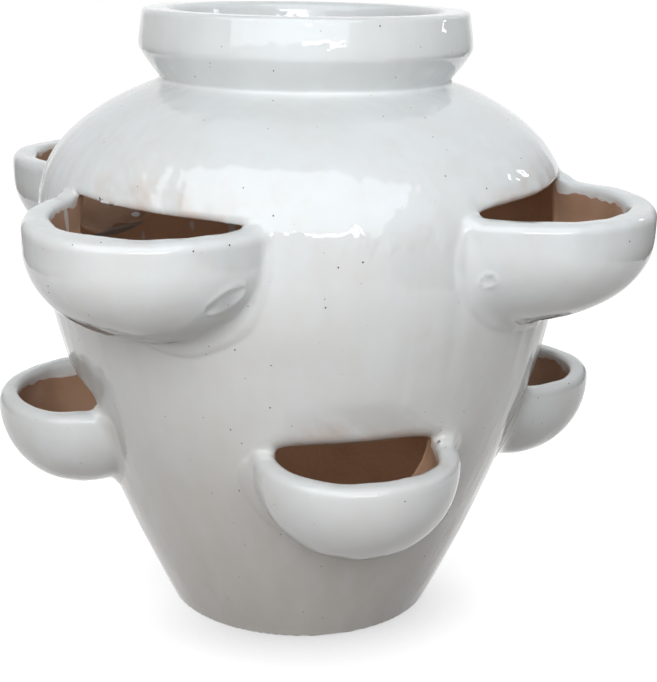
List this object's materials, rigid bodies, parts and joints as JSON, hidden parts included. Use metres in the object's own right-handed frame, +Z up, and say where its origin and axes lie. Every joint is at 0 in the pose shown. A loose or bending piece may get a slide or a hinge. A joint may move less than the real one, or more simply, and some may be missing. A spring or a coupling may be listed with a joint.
{
  "type": "strawberry jar planter",
  "caption": "Glazed clay strawberry jar with a rolled collar, a round belly and staggered rows of half-cup planting pockets that open into the jar.",
  "frame": {"origin": "centre of the base, on the ground", "axes": "+Z up along the jar's axis; -Y towards the front lower pocket; lower pockets face -Y, +X, +Y and -X, and upper pockets face the diagonals between them"},
  "size_m": [0.3596, 0.3596, 0.35],
  "materials": {
    "white_glaze": "glossy cool white glaze over red-brown clay, with pinholes; bare clay with white glaze runs inside",
    "foot_glaze": "glossy white glaze round the edge, bare clay above and below"
  },
  "bodies": {
    "root": {"base_floor": "foot_glaze", "lower_wall": "white_glaze", "upper_wall": "white_glaze", "collar": "white_glaze", "lower_pocket_front": "white_glaze", "lower_pocket_right": "white_glaze", "lower_pocket_back": "white_glaze", "lower_pocket_left": "white_glaze", "upper_pocket_front_right": "white_glaze", "upper_pocket_back_right": "white_glaze", "upper_pocket_back_left": "white_glaze", "upper_pocket_front_left": "white_glaze"}
  },
  "joints": []
}
